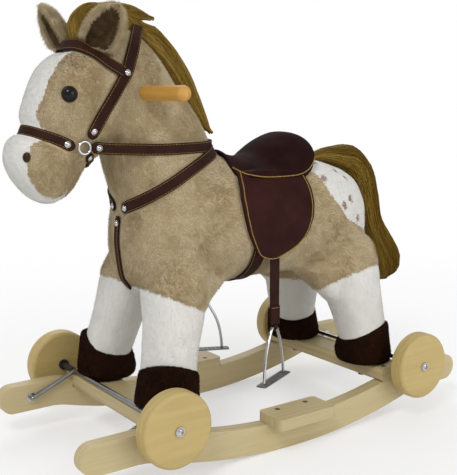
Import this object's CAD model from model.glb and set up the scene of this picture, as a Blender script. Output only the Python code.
"""Looks of the plush horse on rockers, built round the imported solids.

Lengths are millimetres in the horse's own frame (x from the middle of the wheelbase, +X forward,
+Y the horse's left, +Z up) until a mesh is made, which is in metres in the part's frame.
"""

import math

import bmesh
import bpy
import numpy as np
from mathutils import Matrix, Vector
from mathutils.bvhtree import BVHTree


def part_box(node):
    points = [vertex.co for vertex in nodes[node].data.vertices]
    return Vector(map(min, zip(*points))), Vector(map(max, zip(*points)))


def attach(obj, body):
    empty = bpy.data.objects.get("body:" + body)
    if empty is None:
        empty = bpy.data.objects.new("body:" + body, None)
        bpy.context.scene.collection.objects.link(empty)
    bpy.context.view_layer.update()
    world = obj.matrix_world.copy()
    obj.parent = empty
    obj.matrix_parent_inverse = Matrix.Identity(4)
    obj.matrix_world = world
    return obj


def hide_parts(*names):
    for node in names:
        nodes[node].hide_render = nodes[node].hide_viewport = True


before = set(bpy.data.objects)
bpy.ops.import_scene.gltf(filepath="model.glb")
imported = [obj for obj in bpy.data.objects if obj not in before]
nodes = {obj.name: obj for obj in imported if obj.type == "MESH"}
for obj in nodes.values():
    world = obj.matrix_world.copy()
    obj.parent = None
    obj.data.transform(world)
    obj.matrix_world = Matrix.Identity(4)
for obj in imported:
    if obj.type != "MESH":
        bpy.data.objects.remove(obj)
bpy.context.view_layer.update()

MM = 0.001
BASE_X = -8.0  # the wheelbase's middle in the part's frame
SEED = 11
rng = np.random.default_rng(SEED)
FOUR = ("front_left", "front_right", "rear_left", "rear_right")
HANDS = ((1, "left"), (-1, "right"))
FLIP = np.array([1, -1, 1])
SQUARE = 0.88  # power that squares off a round section a little


# Numbers and curves

def metres(points):
    return (np.asarray(points, float) + [BASE_X, 0, 0]) * MM


def millimetres(points):
    """Points of the part's frame in the horse's own."""
    return np.asarray(points) / MM - [BASE_X, 0, 0]


def on_side(points, side):
    """Points of the horse's left, on its left (1) or right (-1)."""
    return np.asarray(points) * [1, side, 1]


def unit(v):
    v = np.asarray(v, float)
    return v / np.maximum(np.linalg.norm(v, axis=-1, keepdims=True), 1e-9)


def lattice(i, seed):
    """A fixed number from 0 to 1 for each whole-number place."""
    h = (i[:, 0] * 73856093) ^ (i[:, 1] * 19349663) ^ (i[:, 2] * 83492791) ^ (seed * 2654435761)
    h = (h ^ (h >> 13)) * 1274126177
    h = h ^ (h >> 16)
    return (h & 0xFFFF) / 65535.0


def noise(points, size, seed):
    """Smooth noise from -1 to 1 with bumps of about this size."""
    q = np.asarray(points, float) / size
    i = np.floor(q).astype(np.int64)
    f = q - i
    f = f * f * (3 - 2 * f)
    total = np.zeros(len(q))
    for corner in range(8):
        step = np.array([corner & 1, (corner >> 1) & 1, (corner >> 2) & 1])
        weight = np.prod(np.where(step, f, 1 - f), axis=1)
        total += weight * lattice(i + step, seed)
    return total * 2 - 1


def ease(low, high, value):
    t = np.clip((np.asarray(value, float) - low) / (high - low), 0, 1)
    return t * t * (3 - 2 * t)


def smooth_keys(keys, step):
    """The keys with new ones every step between them, without overshoot."""
    k = np.asarray(keys, float)
    gap = np.maximum(np.linalg.norm(np.diff(k, axis=0), axis=1), 1e-6)
    t = np.r_[0, np.cumsum(gap)]
    slope = np.diff(k, axis=0) / gap[:, None]
    tangent = np.zeros_like(k)
    tangent[0], tangent[-1] = slope[0], slope[-1]
    before, after = slope[:-1], slope[1:]
    same = before * after > 0
    w1 = (2 * gap[1:] + gap[:-1])[:, None]
    w2 = (gap[1:] + 2 * gap[:-1])[:, None]
    safe_before = np.where(same, before, 1)
    safe_after = np.where(same, after, 1)
    tangent[1:-1] = np.where(same, (w1 + w2) / (w1 / safe_before + w2 / safe_after), 0)
    at = np.r_[np.arange(0, t[-1] - step / 2, step), t[-1]]
    i = np.clip(np.searchsorted(t, at, "right") - 1, 0, len(gap) - 1)
    h = gap[i][:, None]
    s = ((at - t[i]) / gap[i])[:, None]
    return (
        (2 * s**3 - 3 * s**2 + 1) * k[i]
        + (s**3 - 2 * s**2 + s) * h * tangent[i]
        + (3 * s**2 - 2 * s**3) * k[i + 1]
        + (s**3 - s**2) * h * tangent[i + 1]
    )


def curve_through(points, step):
    """A smooth path through the points, with even steps."""
    p = np.asarray(points, float)
    p = np.vstack([2 * p[0] - p[1], p, 2 * p[-1] - p[-2]])
    out = []
    for a, b, c, d in zip(p[:-3], p[1:-2], p[2:-1], p[3:]):
        n = max(2, int(np.linalg.norm(c - b) / step) * 2)
        t = (np.arange(n) / n)[:, None]
        bend, twist = 2 * a - 5 * b + 4 * c - d, 3 * b - a - 3 * c + d
        out.append(0.5 * (2 * b + (c - a) * t + bend * t**2 + twist * t**3))
    return even(np.vstack(out + [p[-2:-1]]), step)


def even(path, step):
    """The same path with points at even steps."""
    gap = np.linalg.norm(np.diff(path, axis=0), axis=1)
    t = np.r_[0, np.cumsum(gap)]
    n = max(2, int(round(t[-1] / step)) + 1)
    at = np.linspace(0, t[-1], n)
    return np.stack([np.interp(at, t, path[:, c]) for c in range(path.shape[1])], axis=1)


def blurred(path, times):
    """The path with each inner point drawn towards its neighbours."""
    out = path.copy()
    for _ in range(times):
        out[1:-1] = 0.25 * out[:-2] + 0.5 * out[1:-1] + 0.25 * out[2:]
    return out


# Meshes

def squircle(v):
    return np.sign(v) * np.abs(v) ** SQUARE


def ring(section, sides, grow):
    """One section's outline: x, y, z of its middle, half depth, half width, tilt."""
    x, y, z, deep, wide, tilt = section
    q = 2 * np.pi * (np.arange(sides) + 0.5) / sides
    along = np.array([math.cos(math.radians(tilt)), 0, math.sin(math.radians(tilt))])
    across = np.array([0, 1, 0])
    return (
        np.array([x, y, z])
        + np.outer((deep + grow) * squircle(np.cos(q)), along)
        + np.outer((wide + grow) * squircle(np.sin(q)), across)
    )


def loft(keys, step, sides, grow=0.0):
    """A closed form through sections; grow widens each of them."""
    sections = smooth_keys(keys, step)
    return np.vstack([ring(s, sides, grow) for s in sections]), capped(len(sections), sides)


def grid_faces(rows, columns, closed=False):
    faces = []
    for r in range(rows - 1):
        for c in range(columns if closed else columns - 1):
            d = (c + 1) % columns
            faces.append([r * columns + c, r * columns + d, (r + 1) * columns + d, (r + 1) * columns + c])
    return faces


def capped(rows, columns):
    """Faces of a tube of points with a lid at both ends."""
    count = rows * columns
    lids = [list(range(columns))[::-1], list(range(count - columns, count))]
    return grid_faces(rows, columns, True) + lids


def sheet(inner, outer, rows, columns):
    """A thin sheet: two grids of points and the rim between them."""
    grid = grid_faces(rows, columns)
    n = rows * columns
    rim = [r * columns for r in range(rows)] + [(rows - 1) * columns + c for c in range(1, columns)]
    rim += [r * columns + columns - 1 for r in range(rows - 2, -1, -1)] + list(range(columns - 2, 0, -1))
    faces = grid + [[i + n for i in f[::-1]] for f in grid]
    faces += [[a, b, b + n, a + n] for a, b in zip(rim, rim[1:] + rim[:1])]
    return np.vstack([inner, outer]), faces


def joined(parts):
    verts, faces, base = [], [], 0
    for v, f in parts:
        verts.append(np.asarray(v, float))
        faces.extend([[i + base for i in face] for face in f])
        base += len(v)
    return np.vstack(verts), faces


def outward(mesh):
    b = bmesh.new()
    b.from_mesh(mesh)
    bmesh.ops.recalc_face_normals(b, faces=b.faces)
    b.to_mesh(mesh)
    b.free()


def mesh_of(name, verts, faces, turn=True):
    """A mesh in metres from points in millimetres; turn makes its faces look outward."""
    mesh = bpy.data.meshes.new(name)
    mesh.from_pydata(metres(verts).tolist(), [], [list(map(int, f)) for f in faces])
    if turn:
        outward(mesh)
    return mesh


def linked(name, data):
    ob = bpy.data.objects.new(name, data)
    bpy.context.scene.collection.objects.link(ob)
    return ob


def piece(name, verts, faces, materials, slot, body="horse", stands_for=(), slots=None, turn=True):
    """A new piece that rides on a body, perhaps in place of CAD nodes.

    Where it has several materials, slots says which each face takes.
    """
    mesh = mesh_of(name, verts, faces, turn)
    for m in materials if isinstance(materials, list) else [materials]:
        mesh.materials.append(m)
    if slots is not None:
        mesh.polygons.foreach_set("material_index", np.asarray(slots, np.int32))
    mesh.polygons.foreach_set("use_smooth", np.ones(len(mesh.polygons), bool))
    ob = linked(name, mesh)
    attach(ob, body)
    if stands_for:
        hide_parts(*stands_for)
    return ob


def remeshed(verts, faces, voxel):
    """The form again as one even skin; the voxel's size is in metres."""
    mesh = mesh_of("work", verts, faces)
    ob = linked("work", mesh)
    grid = ob.modifiers.new("remesh", "REMESH")
    grid.mode = "VOXEL"
    grid.voxel_size = voxel
    done = ob.evaluated_get(bpy.context.evaluated_depsgraph_get())
    result = done.to_mesh()
    v = np.empty(len(result.vertices) * 3)
    result.vertices.foreach_get("co", v)
    f = [list(p.vertices) for p in result.polygons]
    done.to_mesh_clear()
    bpy.data.objects.remove(ob)
    bpy.data.meshes.remove(mesh)
    return millimetres(v.reshape(-1, 3)), f


def edges_of(faces):
    pairs = {(min(a, b), max(a, b)) for f in faces for a, b in zip(f, f[1:] + f[:1])}
    return np.array(sorted(pairs))


def relaxed(verts, faces, times):
    """Each point moved half way to the mean of its neighbours, so many times."""
    a, b = edges_of(faces).T
    n = len(verts)
    degree = np.bincount(np.r_[a, b], minlength=n).clip(1)[:, None]
    v = verts.copy()
    for _ in range(times):
        sums = [np.bincount(a, v[b, c], n) + np.bincount(b, v[a, c], n) for c in range(3)]
        v += 0.5 * (np.stack(sums, axis=1) / degree - v)
    return v


def as_quads(faces):
    """The faces as rows of four; a triangle's last point counts twice."""
    return np.array([f if len(f) == 4 else f[:3] + f[2:3] for f in faces])


def vertex_normals(verts, faces):
    out = np.zeros_like(verts)
    quads = as_quads(faces)
    p = verts[quads]
    n = np.cross(p[:, 2] - p[:, 0], p[:, 3] - p[:, 1])
    for c in range(4):
        np.add.at(out, quads[:, c], n)
    return unit(out)


def tree(verts, faces):
    return BVHTree.FromPolygons([Vector(v) for v in verts], faces)


def tube(path, radius, sides):
    """A round tube along a path; radius may change along it."""
    p = np.asarray(path, float)
    r = np.broadcast_to(np.asarray(radius, float), len(p))
    t = unit(np.gradient(p, axis=0))
    side = np.cross(t[0], [0, 0, 1.0])
    if np.linalg.norm(side) < 0.1:
        side = np.cross(t[0], [0, 1.0, 0])
    side = unit(side)
    q = 2 * np.pi * np.arange(sides) / sides
    rings = []
    for i in range(len(p)):
        side = unit(side - t[i] * (side @ t[i]))
        up = np.cross(t[i], side)
        rings.append(p[i] + r[i] * (np.outer(np.cos(q), side) + np.outer(np.sin(q), up)))
    return np.vstack(rings), capped(len(p), sides)


def lathe(profile, at, axis, sides):
    """A turned form: radius and height pairs about an axis."""
    n = unit(axis)
    a = unit(np.cross(n, [0, 0, 1.0] if abs(n[2]) < 0.9 else [1.0, 0, 0]))
    b = np.cross(n, a)
    q = 2 * np.pi * np.arange(sides) / sides
    circle = np.outer(np.cos(q), a) + np.outer(np.sin(q), b)
    return np.vstack([np.asarray(at) + h * n + r * circle for r, h in profile]), capped(len(profile), sides)


# Materials

def fill(node, values):
    """Sets a node's inputs; the output of another node becomes a wire."""
    for key, value in values.items():
        if isinstance(value, bpy.types.NodeSocket):
            node.id_data.links.new(value, node.inputs[key])
        else:
            node.inputs[key].default_value = value


def add(net, kind, values, **settings):
    """A new shader node with its settings and inputs."""
    node = net.nodes.new("ShaderNode" + kind)
    for key, value in settings.items():
        setattr(node, key, value)
    fill(node, values)
    return node


def new_material(name):
    m = bpy.data.materials.new(name)
    m.use_nodes = True
    return m, m.node_tree, m.node_tree.nodes["Principled BSDF"]


def surface(name, dark, light, size, rough, relief=None, metal=0.0, sheen=0.0, glint=0.5, stretch=(1, 1, 1),
            ramp=(0.3, 0.7), lines=None):
    """A patterned surface between two tones and two roughnesses. Sizes in mm.

    relief is strength, size and depth; lines is the axis across faint growth lines.
    """
    m, net, shader = new_material(name)
    place = add(net, "TexCoord", {}).outputs["Object"]
    place = add(net, "Mapping", {"Vector": place, "Scale": stretch}).outputs["Vector"]
    grain = add(net, "TexNoise", {"Vector": place, "Scale": 1 / (size * MM), "Detail": 5, "Roughness": 0.6})
    tone = add(net, "ValToRGB", {"Fac": grain.outputs["Fac"]})
    for stop, position, colour in zip(tone.color_ramp.elements, ramp, (dark, light)):
        stop.position = position
        stop.color = (*colour, 1)
    base = tone.outputs["Color"]
    if lines:
        wave = add(net, "TexWave", {"Vector": place, "Scale": 34, "Distortion": 5, "Detail": 3},
                   wave_type="BANDS", bands_direction=lines)
        base = add(net, "Mix", {"Factor": 0.10, "A": base, "B": wave.outputs["Color"]},
                   data_type="RGBA", blend_type="MULTIPLY").outputs["Result"]
    gloss = add(net, "MapRange", {"Value": grain.outputs["Fac"], "To Min": rough[0], "To Max": rough[1]})
    fill(shader, {"Base Color": base, "Roughness": gloss.outputs["Result"], "Metallic": metal,
                  "Specular IOR Level": glint})
    if relief:
        strength, width, depth = relief
        fine = add(net, "TexNoise", {"Vector": place, "Scale": 1 / (width * MM), "Detail": 4})
        bump = add(net, "Bump", {"Height": fine.outputs["Fac"], "Strength": strength,
                                 "Distance": depth * MM})
        fill(shader, {"Normal": bump.outputs["Normal"]})
    if sheen:
        fill(shader, {"Sheen Weight": sheen, "Sheen Roughness": 0.5})
    return m


def fibre(name, colour, rough=0.8, sheen=0.12, glint=0.12):
    """One tint of a pelt; a pelt mixes several."""
    m, _, shader = new_material(name)
    fill(shader, {"Base Color": (*colour, 1), "Roughness": rough, "Specular IOR Level": glint,
                  "Sheen Weight": sheen, "Sheen Roughness": 0.5})
    return m


def timber(name, pale, dark, grain_axis):
    """Planed wood: long streaks and faint growth lines along one axis."""
    stretch = [1.0, 1.0, 1.0]
    stretch[grain_axis] = 0.06
    return surface(name, dark, pale, 5.0, (0.42, 0.55), (0.25, 1.1, 0.15), stretch=stretch,
                   ramp=(0.22, 0.62), lines="Z" if grain_axis == 1 else "Y")


TINTS = {
    "tan": [(0.36, 0.265, 0.130), (0.44, 0.335, 0.178), (0.51, 0.40, 0.225), (0.60, 0.495, 0.31)],
    "white": [(0.65, 0.635, 0.593), (0.68, 0.665, 0.625)],
    "brown": [(0.011, 0.0042, 0.0020), (0.021, 0.0085, 0.0038)],
    "spot": [(0.25, 0.195, 0.17), (0.48, 0.345, 0.31)],
}
HAIR = [
    (0.082, 0.044, 0.003), (0.125, 0.071, 0.006), (0.175, 0.103, 0.012), (0.235, 0.147, 0.025),
    (0.30, 0.205, 0.055),
]
fibres = []
first_tint = {}
for pile, tints in TINTS.items():
    first_tint[pile] = len(fibres)
    dull = {"sheen": 0.0, "glint": 0.03} if pile == "brown" else {}
    fibres += [fibre("pile_%s_%d" % (pile, i), c, **dull) for i, c in enumerate(tints)]
hair_tints = [fibre("hair_%d" % i, c, 0.5, 0.0, 0.10) for i, c in enumerate(HAIR)]

tan_cloth = surface("tan_pile_backing", (0.30, 0.22, 0.12), (0.46, 0.36, 0.22), 16, (0.85, 0.95),
                    (0.6, 1.6, 0.8), sheen=0.3)
white_cloth = surface("white_pile_backing", (0.65, 0.637, 0.60), (0.70, 0.687, 0.65), 14, (0.85, 0.95),
                      (0.2, 1.6, 0.5), sheen=0.1, glint=0.1)
spot_cloth = surface("spot_pile_backing", (0.22, 0.17, 0.15), (0.36, 0.26, 0.235), 5, (0.85, 0.95),
                     (0.2, 1.6, 0.5), glint=0.1)
brown_cloth = surface("brown_pile_backing", (0.010, 0.004, 0.002), (0.020, 0.008, 0.004), 10, (0.8, 0.9),
                      (0.6, 1.6, 0.8), glint=0.03)
lining_cloth = surface("ear_lining", (0.036, 0.021, 0.009), (0.110, 0.070, 0.036), 9, (0.6, 0.75),
                       (0.5, 1.2, 0.5), glint=0.06)
hair_core = surface("hair_mass", (0.085, 0.046, 0.004), (0.15, 0.087, 0.010), 5, (0.55, 0.7),
                    (0.6, 2, 1), glint=0.1)
hide = surface("saddle_leather", (0.012, 0.0042, 0.0040), (0.024, 0.0085, 0.0080), 30, (0.66, 0.78),
               (0.22, 0.9, 0.1), glint=0.03)
flap_hide = surface("flap_leather", (0.019, 0.0050, 0.0040), (0.036, 0.0096, 0.0076), 34, (0.5, 0.62),
                    (0.22, 0.9, 0.1), glint=0.07)
strap_hide = surface("strap_leather", (0.017, 0.0052, 0.0032), (0.034, 0.0108, 0.0068), 14, (0.55, 0.68),
                     (0.25, 0.8, 0.1), glint=0.10)
gold_thread = surface("gold_thread", (0.15, 0.088, 0.016), (0.33, 0.21, 0.05), 1.6, (0.55, 0.7),
                      (0.4, 0.7, 0.15), glint=0.3)
chrome = surface("chrome", (0.50, 0.50, 0.51), (0.62, 0.62, 0.63), 40, (0.08, 0.12), metal=1.0)
rod_steel = surface("rod_steel", (0.24, 0.24, 0.25), (0.32, 0.32, 0.33), 60, (0.16, 0.22), metal=1.0)
plate_steel = surface("tread_plate", (0.13, 0.13, 0.135), (0.22, 0.22, 0.225), 3, (0.38, 0.5),
                      (0.2, 1.4, 0.2), metal=0.7)
dark_steel = surface("screw_steel", (0.06, 0.048, 0.03), (0.14, 0.115, 0.08), 2, (0.5, 0.65), metal=0.6)
black_sleeve = surface("black_sleeve", (0.010, 0.010, 0.012), (0.024, 0.024, 0.028), 4, (0.4, 0.5),
                       (0.1, 4, 0.4))
eye_black = surface("eye_black", (0.002, 0.002, 0.002), (0.004, 0.004, 0.004), 5, (0.04, 0.06), glint=0.26)
eye_rim = surface("eye_rim", (0.016, 0.007, 0.004), (0.035, 0.016, 0.008), 4, (0.35, 0.45), glint=0.2)
pine_x = timber("pine_along", (0.545, 0.45, 0.245), (0.49, 0.39, 0.20), 0)
pine_y = timber("pine_across", (0.50, 0.405, 0.215), (0.43, 0.34, 0.17), 1)
wheel_timber = timber("wheel_wood", (0.515, 0.385, 0.150), (0.46, 0.335, 0.12), 0)
handle_timber = timber("handle_wood", (0.56, 0.30, 0.055), (0.45, 0.225, 0.035), 1)
plywood = timber("inner_board", (0.45, 0.33, 0.17), (0.36, 0.25, 0.12), 0)


def dress(material, *names):
    """Gives CAD nodes that stay on show their material."""
    for name in names:
        for slot in nodes[name].material_slots:
            slot.material = material


dress(dark_steel, "base_screws", "leg_bolts")
dress(chrome, "pivot_ferrules", "front_hub_caps", "rear_hub_caps", "bridle_rings")
dress(rod_steel, "front_axle_frame", "rear_axle_frame")
dress(black_sleeve, "front_axle_sleeves", "rear_axle_sleeves")
dress(wheel_timber, *("wheel_" + place for place in FOUR))
dress(plywood, "spine_board", "neck_post", *("leg_post_" + place for place in FOUR))
dress(handle_timber, "handle_bar")


FLAT, SHARP = math.radians(0.6), 0.6  # radians: below the first faces join, past the second edges round


def eased(name, width, material):
    """A wooden part again, with its sharp edges rounded over."""
    b = bmesh.new()
    b.from_mesh(nodes[name].data)
    b.transform(nodes[name].matrix_world)
    bmesh.ops.remove_doubles(b, verts=b.verts, dist=1e-6)
    bmesh.ops.dissolve_limit(b, angle_limit=FLAT, verts=b.verts, edges=b.edges)
    sharp = [e for e in b.edges if len(e.link_faces) == 2 and e.calc_face_angle() > SHARP]
    bmesh.ops.bevel(b, geom=sharp, offset=width * MM, segments=3, profile=0.6, affect="EDGES",
                    clamp_overlap=True)
    b.verts.ensure_lookup_table()
    verts = millimetres([v.co for v in b.verts])
    faces = [[v.index for v in f.verts] for f in b.faces]
    b.free()
    ob = piece("eased_" + name, verts, faces, material, slot="pine", stands_for=(name,))
    ob.modifiers.new("flat", "WEIGHTED_NORMAL").keep_sharp = True


for name in ("rocker_left", "rocker_right", "footrest_left", "footrest_right"):
    eased(name, width=2.4, material=pine_x)
for name in ("front_slat", "rear_slat"):
    eased(name, width=1.6, material=pine_y)

# Camera, light and floor

FOCAL, PHOTO_ROWS, SENSOR = 872.3, 475, 36  # focal length in the photo's pixels, its rows, millimetres
WHITE_LIGHT = (1, 1, 1, 1)
FLOOR_HALF = 12  # metres


def aim(ob, at, way):
    ob.location = at
    ob.rotation_euler = Vector(way).to_track_quat("-Z", "Y").to_euler()


def lamp(name, at, target, size, power):
    data = bpy.data.lights.new(name, "AREA")
    data.shape = "DISK"
    data.size = size
    data.energy = power
    aim(linked(name, data), at, Vector(target) - Vector(at))


scene = bpy.context.scene
camera = linked("camera", bpy.data.cameras.new("camera"))
camera.data.sensor_fit = "VERTICAL"
camera.data.sensor_height = SENSOR
camera.data.lens = SENSOR * FOCAL / PHOTO_ROWS
camera.data.clip_end = 60
aim(camera, (0.6819, 0.9386, 0.4498), (-0.5749, -0.8012, -0.1663))
scene.camera = camera
scene.view_settings.view_transform = "Standard"

lamp("key", (1.4, 1.1, 1.9), (0, 0, 0.25), 0.7, 19)
lamp("fill", (-0.6, 2.0, 0.9), (0, 0, 0.25), 1.6, 12)
lamp("back", (-0.6, -1.6, 1.6), (0, 0, 0.3), 1.6, 12)

world = bpy.data.worlds.new("studio")
scene.world = world
world.use_nodes = True
net = world.node_tree
sky = net.nodes["Background"]
fill(sky, {"Color": WHITE_LIGHT, "Strength": 0.62})
backdrop = add(net, "Background", {"Color": WHITE_LIGHT, "Strength": 1.0})
seen = add(net, "LightPath", {}).outputs["Is Camera Ray"]
pick = add(net, "MixShader", {"Fac": seen, 1: sky.outputs["Background"], 2: backdrop.outputs["Background"]})
fill(net.nodes["World Output"], {"Surface": pick.outputs["Shader"]})

floor_mesh = bpy.data.meshes.new("floor")
corners = [(a * FLOOR_HALF, b * FLOOR_HALF, 0) for a, b in ((-1, -1), (1, -1), (1, 1), (-1, 1))]
floor_mesh.from_pydata(corners, [], [(0, 1, 2, 3)])
floor = linked("floor", floor_mesh)
floor_look, net, shader = new_material("studio_floor")
fill(shader, {"Base Color": (0.92, 0.92, 0.92, 1), "Roughness": 0.9, "Specular IOR Level": 0.0})
place = add(net, "TexCoord", {}).outputs["Object"]
far = add(net, "VectorMath", {0: place}, operation="LENGTH").outputs["Value"]
span = {"From Min": 0.35, "From Max": 1.5, "To Min": 0.45, "To Max": 1.0}
share = add(net, "MapRange", {"Value": far, **span}, interpolation_type="SMOOTHSTEP").outputs["Result"]
seen = add(net, "LightPath", {}).outputs["Is Camera Ray"]
share = add(net, "Math", {0: share, 1: seen}, operation="MULTIPLY").outputs["Value"]
glow = add(net, "Emission", {}).outputs["Emission"]
pick = add(net, "MixShader", {"Fac": share, 1: shader.outputs["BSDF"], 2: glow})
fill(net.nodes["Material Output"], {"Surface": pick.outputs["Shader"]})
floor_mesh.materials.append(floor_look)


# The horse's sizes

BODY_MID, HALF_L, HALF_D, HALF_W, BODY_Z = -10.0, 194.0, 80.0, 84.0, 281.0
NECK_FOOT, NECK_LENGTH, NECK_LEAN = (112.2, 329.0), 206.0, math.radians(66)
POLL, HEAD_LENGTH, HEAD_DROP = (186.4, 491.7), 196.0, math.radians(51)
HOOF_X, HOOF_Y, HOOF_FOOT, HOOF_TOP = 160.3, 77.0, 72.3, 114.3
NECK_SIZE, HEAD_SIZE, MANE_SIZE = (73, 66), (58, 50), (30 * 0.62, 15)
LEG_TOP, HOOF_HIGH = 257, 42
LEG_WIDE, LEG_LEAST = 88, 66
LEG_ROOT = {1: (122.0, 40.3), -1: (-136.1, 47.0)}
HOOF_LEAN = {1: (0.30, 0.36), -1: (-0.26, 0.30)}
TAIL_ROOT, TAIL_SCALE = (-158.5, 345), 50
STRAP = 15.0
HANG_X, HANG_Y, HANG_Z = 2.8, 82.7, 147.0
PIVOT_Y, PIVOT_Z, TREAD = 80.6, 247, -70
LEATHER_TOP, FOLD_TOP, LEATHER_FOOT = 254, 176, 150
PILE = 1.8
SKIN_VOXEL, SEAT_VOXEL = 0.0034, 0.003
FEET = [(1, 1), (1, -1), (-1, 1), (-1, -1)]
# The head's straps lie in planes at this turn: sine and cosine, and a point of brow and nose
STRAP_TURN, TURN_SIN, TURN_COS = 24, 0.407, 0.914
BROW_AT, NOSE_AT = (229.5, 490.7), (298.1, 404.5)

TORSO = [
    (-1, -0.16, 0.05, 0.05), (-0.97, -0.15, 0.46, 0.42), (-0.87, -0.10, 0.77, 0.70),
    (-0.68, -0.06, 0.93, 0.90), (-0.40, 0.01, 1.00, 1.00), (-0.05, 0.00, 0.98, 1.00),
    (0.36, 0.04, 1.08, 0.95), (0.65, 0.00, 1.10, 0.88), (0.86, -0.08, 0.95, 0.72),
    (0.96, -0.14, 0.66, 0.48), (1, -0.16, 0.10, 0.08),
]
NECK = [
    (0, 0, 1.00, 1.00, -20), (0.26, -0.01, 0.94, 0.87, -23), (0.53, 0.00, 0.80, 0.74, -27),
    (0.78, 0.01, 0.65, 0.64, -31), (0.94, 0.03, 0.46, 0.50, -35), (1, 0.04, 0.10, 0.12, -37),
]
HEAD = [
    (0, 0.00, 0.10, 0.12, 26), (0.06, 0.00, 0.62, 0.70, 28), (0.20, 0.00, 0.90, 0.94, 31),
    (0.36, 0.00, 1.00, 1.00, 35), (0.52, 0.01, 0.92, 0.92, 39), (0.66, 0.02, 0.80, 0.80, 42),
    (0.80, 0.03, 0.83, 0.81, 45), (0.91, 0.03, 0.72, 0.72, 48), (0.98, 0.03, 0.42, 0.45, 51),
    (1, 0.03, 0.10, 0.10, 52),
]
LEG = [
    (0, 0.10), (0.02, 0.62), (0.10, 0.92), (0.28, 1.02), (0.5, 0.62), (0.75, 0.28), (1, 0.20),
    (1.12, 0.15),
]
MANE = [
    (1.086, 0.090, 0.10, 76), (1.080, 0.040, 0.70, 82), (1.053, -0.081, 1.00, 95),
    (0.985, -0.150, 0.98, 106), (0.940, -0.190, 0.72, 116), (0.905, -0.222, 0.66, 121),
    (0.860, -0.250, 0.92, 125), (0.752, -0.300, 0.9135, 133), (0.568, -0.350, 0.87, 145),
    (0.412, -0.370, 0.7395, 149), (0.265, -0.390, 0.5394, 142), (0.171, -0.427, 0.087, 137),
]
TAIL = [
    (0.72, 0.20, 0.10, 86), (0.25, 0.26, 0.20, 88), (-0.13, 0.23, 0.28, 96), (-0.75, 0.10, 0.44, 117),
    (-1.21, -0.30, 0.45, 143), (-1.55, -0.98, 0.38, 160), (-1.75, -1.78, 0.36, 161),
    (-2.06, -2.38, 0.45, 156), (-2.33, -2.98, 0.55, 161), (-2.40, -3.38, 0.46, 170),
    (-2.37, -3.62, 0.10, 175),
]
SEAT = [
    (0.235, 0.84, 0.03, 0.16), (0.215, 0.84, 0.13, 0.50), (0.15, 0.84, 0.20, 0.66),
    (0.02, 0.85, 0.20, 0.74), (-0.03, 0.855, 0.22, 0.755), (-0.075, 0.86, 0.305, 0.77),
    (-0.13, 0.865, 0.405, 0.78), (-0.20, 0.88, 0.48, 0.785), (-0.30, 0.90, 0.52, 0.78),
    (-0.40, 0.92, 0.45, 0.66), (-0.455, 0.91, 0.27, 0.44), (-0.475, 0.90, 0.04, 0.12),
]


def trunk_keys(shares):
    return [(BODY_MID + HALF_L * s, 0, BODY_Z + HALF_D * lift, HALF_D * d, HALF_W * w, 90)
            for s, lift, d, w in shares]


def on_neck(s, forward):
    c, d = math.cos(NECK_LEAN), math.sin(NECK_LEAN)
    x = NECK_FOOT[0] + NECK_LENGTH * (s * c + forward * d)
    return x, NECK_FOOT[1] + NECK_LENGTH * (s * d - forward * c)


def on_head(s, back):
    c, d = math.cos(HEAD_DROP), math.sin(HEAD_DROP)
    return POLL[0] + HEAD_LENGTH * (s * c - back * d), POLL[1] - HEAD_LENGTH * (s * d + back * c)


def keys_on(line, shares, size):
    """Sections along neck or head: place along it, offset from it, depth, width and tilt."""
    out = []
    for s, off, d, w, tilt in shares:
        x, z = line(s, off)
        out.append((x, 0, z, size[0] * d, size[1] * w, tilt))
    return out


def leg_keys(end, side):
    x, y = LEG_ROOT[end]
    out = []
    for s, d in LEG:
        if end < 0:
            d += 0.36 * math.sin(math.pi * min(s, 1))
        r = LEG_WIDE * d if s < 0.2 else LEG_LEAST + (LEG_WIDE - LEG_LEAST) * d
        out.append((x + (end * HOOF_X - x) * s, side * (y + (HOOF_Y - y) * s),
                    LEG_TOP + (HOOF_TOP - LEG_TOP) * s, r / 2, r / 2, 0))
    return out


# Plush skin: trunk, neck, head and legs as one stuffed form

parts = [loft(trunk_keys(TORSO), 6, 48, -PILE), loft(keys_on(on_neck, NECK, NECK_SIZE), 6, 44, -PILE),
         loft(keys_on(on_head, HEAD, HEAD_SIZE), 5, 44, -PILE)]
parts += [loft(leg_keys(end, side), 6, 36, -PILE) for end, side in FEET]
# Filled folds behind the front legs and before the rear ones: place and radius
ARMPIT = [(124, 59, 172, 16), (116, 57, 184, 18), (110, 54, 194, 22), (102, 50, 206, 28), (92, 46, 218, 34)]
FLANK = [
    (-126, 62, 160, 16), (-116, 60, 174, 20), (-108, 58, 186, 24), (-98, 55, 200, 28), (-86, 50, 216, 34),
]
for fold in (ARMPIT, FLANK):
    parts += [loft([(x, side * y, z, r, r, 0) for x, y, z, r in fold], 5, 28) for side in (1, -1)]
skin_v, skin_f = remeshed(*joined(parts), SKIN_VOXEL)
skin_v = relaxed(skin_v, skin_f, 9)


def smoothed(v, places, reach, times):
    """The skin again, with its creases worn away near some places on both sides."""
    soft = relaxed(v, skin_f, times)
    share = np.zeros(len(v))
    for place in places:
        off = np.linalg.norm((v * [1, 0, 1] + np.abs(v) * [0, 1, 0]) - np.array(place), axis=1)
        share = np.maximum(share, 1 - ease(0.4 * reach, reach, off))
    return v + (soft - v) * share[:, None]


def leg_line(p):
    """Height of the seam where the white of the legs begins."""
    x, y, _ = p.T
    front = 216 + 0.45 * (x - 180)
    rear = 155 + 0.5 * np.abs(y) - 0.2 * (x + 115)
    return np.where(x > 0, front, rear) + 1.5 * noise(p, 9, 5)


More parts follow.
